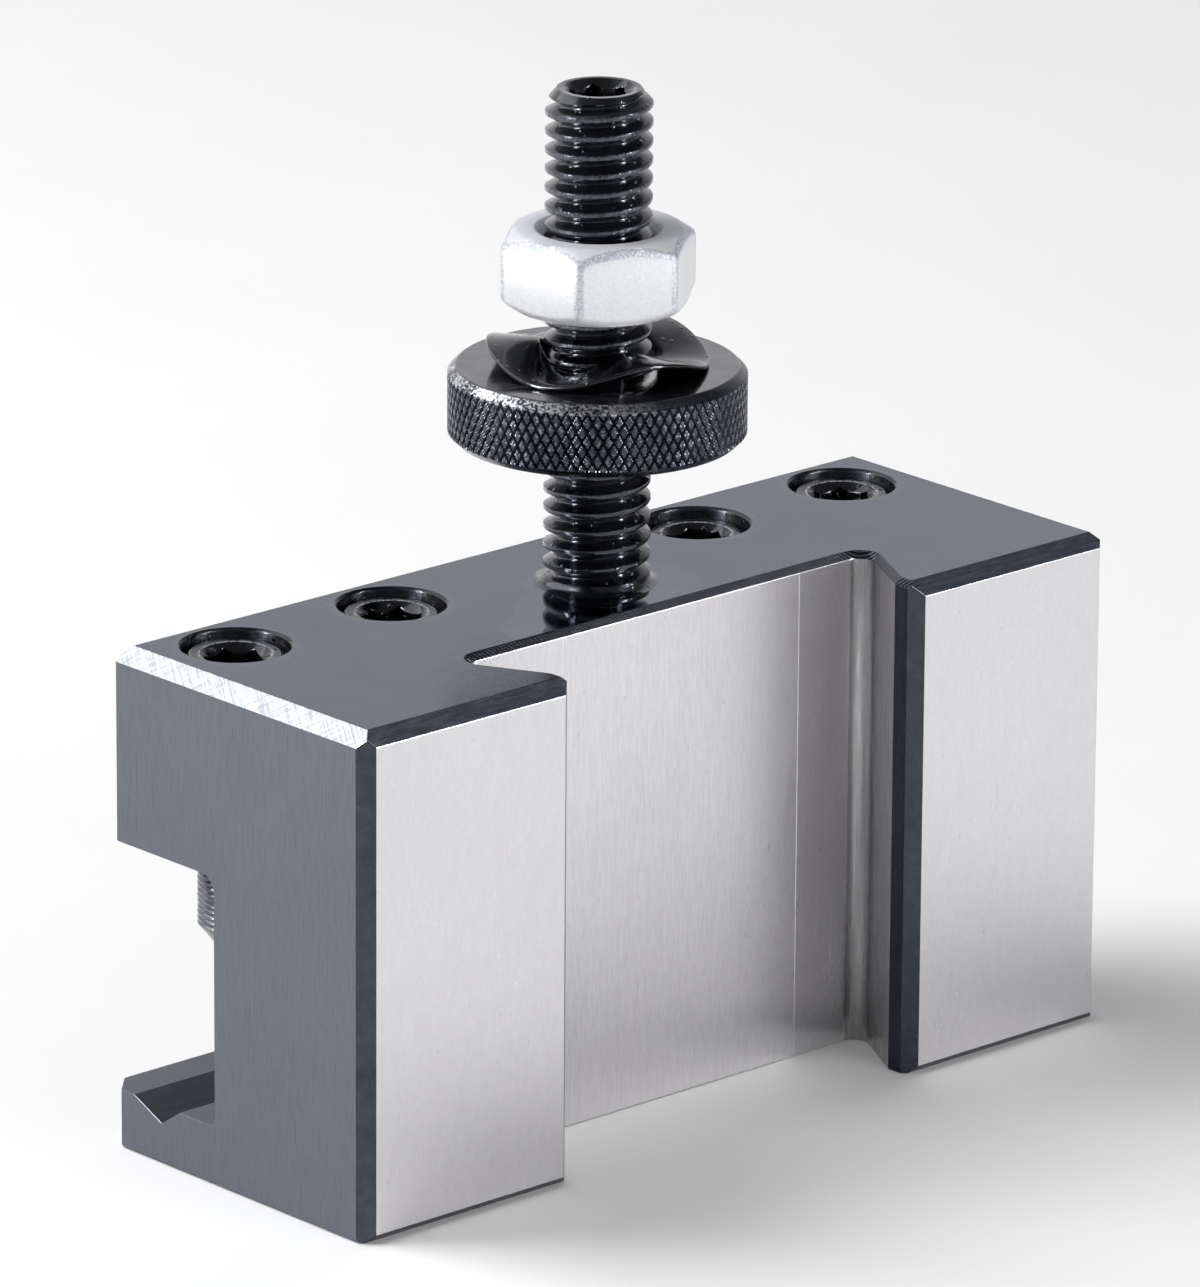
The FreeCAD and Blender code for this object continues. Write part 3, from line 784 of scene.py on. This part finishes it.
def lock_nut():
    """Hexagon nut, crowned at both ends, with eased corners."""
    build = Build()
    count = 240
    turn = math.radians(36.8)
    crown, corner_radius = 6.15, 7.42
    flat = hexagon_radius(NUT_FLATS, turn)

    def outline(angle):
        return min(flat(angle), corner_radius)

    def drop(angle):
        """How far the crown has fallen where it meets the nut's sides."""
        return max(0.0, outline(angle) - crown) * math.tan(math.radians(30))

    def half(sign, end):
        """Radius and height of each ring, from the bore to the side."""
        return [
            (3.97, end - sign * 0.75), (4.62, end - sign * 0.06), (4.74, end),
            (crown - 0.35, end), (crown, lambda a: end - sign * 0.03),
            (lambda a: outline(a) - 0.42, lambda a: end - sign * max(0.05, drop(a) - 0.16)),
            (lambda a: outline(a) - 0.12, lambda a: end - sign * (drop(a) + 0.10)),
            (outline, lambda a: end - sign * (drop(a) + 0.42)),
        ]

    section = half(1, NUT_HIGH) + half(-1, NUT_LOW)[::-1]
    rings = [circle_spots(count, r, z, STUD_AXIS, turn) for r, z in section]
    made = build.rings(rings)
    build.bridge(made[-1], made[0])
    build.piece("lock", "lock", "lock_nut", zinc_look(), 40.0)


# Studio

def pale_floor():
    """Large pale floor just under the block."""
    mesh = bpy.data.meshes.new("floor")
    half, gap = 3000 * MM, 0.04 * MM
    corners = [(-half, -half, 0), (half, -half, 0), (half, half, 0), (-half, half, 0)]
    mesh.from_pydata(corners, [], [(0, 1, 2, 3)])
    floor = bpy.data.objects.new("floor", mesh)
    floor.location.z = -gap
    bpy.context.scene.collection.objects.link(floor)
    look = Look("pale_floor")
    grain = look.noise((30, 30, 30), 2.0, 0.5)
    look.set(base_color=look.ramp(grain, [(0.0, (0.75, 0.75, 0.75)), (1.0, (0.78, 0.78, 0.78))]),
             roughness=0.9, specular_ior_level=0.1, emission_color=(1.0, 1.0, 1.0),
             emission_strength=0.09)
    mesh.materials.append(look.material)


def lamps():
    """Large soft lamps. Two show only as reflections, and two light the part without one."""
    aim = Vector((0, 0, 0.035))
    for name, direction, distance, size, watts, glossy, diffuse in (
        ("light_back_left", (-0.42, 0.66, 0.62), 0.60, (0.50, 0.40), 0.95, True, True),
        ("light_left", (-0.93, 0.30, 0.42), 0.50, (0.07, 0.42), 3.6, True, False),
        ("light_right", (0.43, -0.90, 0.42), 0.50, (0.055, 0.42), 2.8, True, False),
        ("light_fill", (-0.40, 0.47, 0.79), 0.80, (0.42, 0.42), 5.5, False, True),
        ("light_front", (0.10, -0.99, 0.10), 0.60, (0.30, 0.15), 2.05, False, True),
    ):
        data = bpy.data.lights.new(name, "AREA")
        data.shape = "RECTANGLE"
        data.size, data.size_y = size
        data.energy = watts
        lamp = bpy.data.objects.new(name, data)
        lamp.visible_glossy = glossy
        lamp.visible_diffuse = diffuse
        towards = Vector(direction).normalized()
        lamp.location = aim + towards * distance
        lamp.rotation_euler = towards.to_track_quat("Z", "Y").to_euler()
        bpy.context.scene.collection.objects.link(lamp)


def surroundings():
    """Surroundings that are darkest high before the dovetail and brightest low behind the part."""
    world = bpy.data.worlds.new("studio")
    bpy.context.scene.world = world
    world.use_nodes = True
    tree = world.node_tree
    back = tree.nodes["Background"]
    where = tree.nodes.new("ShaderNodeTexCoord").outputs["Generated"]
    dot = tree.nodes.new("ShaderNodeVectorMath")
    dot.operation = "DOT_PRODUCT"
    tree.links.new(where, dot.inputs[0])
    dot.inputs[1].default_value = (0.0, 0.90, -0.43)
    # From the range -1 to 1 to the range 0 to 1.
    spread = tree.nodes.new("ShaderNodeMapRange")
    tree.links.new(dot.outputs["Value"], spread.inputs[0])
    for number, value in ((1, -1.0), (2, 1.0), (3, 0.0), (4, 1.0)):
        spread.inputs[number].default_value = value
    ramp = tree.nodes.new("ShaderNodeValToRGB")
    tree.links.new(spread.outputs[0], ramp.inputs[0])
    stops = [(0.0, 0.17), (0.36, 0.19), (0.58, 0.66), (0.70, 0.70), (0.80, 0.72), (0.92, 0.95),
             (1.0, 1.0)]
    while len(ramp.color_ramp.elements) < len(stops):
        ramp.color_ramp.elements.new(0.5)
    for element, (place, value) in zip(ramp.color_ramp.elements, stops):
        element.position = place
        element.color = (value, value, value * 1.02, 1.0)
    tree.links.new(ramp.outputs[0], back.inputs["Color"])
    back.inputs["Strength"].default_value = 1.0


def camera():
    """Camera solved from the photograph: direction, roll, distance and focal length."""
    azimuth, elevation, roll = (math.radians(v) for v in (-42.2998, 17.9029, 0.3653))
    distance, aside, above, focal = 812.465, -1.4958, 3.6732, 11143.5
    photo_width = 1200
    aim = Vector((0, -0.8, 30.0))
    back = Vector((math.sin(azimuth) * math.cos(elevation),
                   -math.cos(azimuth) * math.cos(elevation), math.sin(elevation)))
    level = Vector((math.cos(azimuth), math.sin(azimuth), 0))
    rise = back.cross(level)
    right = level * math.cos(roll) + rise * math.sin(roll)
    up = rise * math.cos(roll) - level * math.sin(roll)
    spot = (aim + back * distance + right * aside + up * above) * MM
    data = bpy.data.cameras.new("camera")
    data.sensor_fit = "HORIZONTAL"
    data.sensor_width = 36.0
    data.lens = focal / photo_width * data.sensor_width
    data.clip_start = 0.05
    data.clip_end = 20.0
    made = bpy.data.objects.new("camera", data)
    made.matrix_world = Matrix.Translation(spot) @ Matrix((right, up, back)).transposed().to_4x4()
    bpy.context.scene.collection.objects.link(made)
    bpy.context.scene.camera = made
    bpy.context.scene.view_settings.view_transform = "Standard"
    bpy.context.scene.view_settings.look = "None"


dress_block()
height_stud()
clamp_screws()
thumb_nut()
wave_washer()
lock_nut()
pale_floor()
lamps()
surroundings()
camera()
